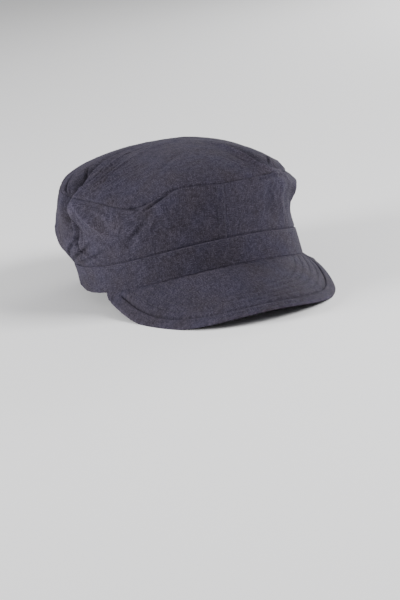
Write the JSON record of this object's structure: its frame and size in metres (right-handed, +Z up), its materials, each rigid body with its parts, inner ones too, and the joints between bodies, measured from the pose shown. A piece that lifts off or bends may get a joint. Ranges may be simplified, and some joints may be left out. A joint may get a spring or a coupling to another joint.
{
  "type": "kepi cap",
  "caption": "Soft cloth kepi cap with a low slack crown, a plain band gathered at the back and a short curved peak.",
  "frame": {"origin": "middle of the bounding box in plan, on the surface that the cap rests on", "axes": "+Z up, -Y the way the peak points, +X towards the wearer's left"},
  "size_m": [0.1794, 0.2832, 0.109],
  "materials": {
    "crown_cloth": "dark navy linen-like plain weave, matt",
    "band_cloth": "dark navy linen-like plain weave, matt",
    "peak_cloth": "dark navy linen-like plain weave, matt, stitched over a stiffener"
  },
  "bodies": {
    "root": {"top_panel": "crown_cloth", "wall_right": "crown_cloth", "wall_left": "crown_cloth", "band": "band_cloth", "back_band": "band_cloth", "peak": "peak_cloth", "peak_border": "peak_cloth"}
  },
  "joints": []
}
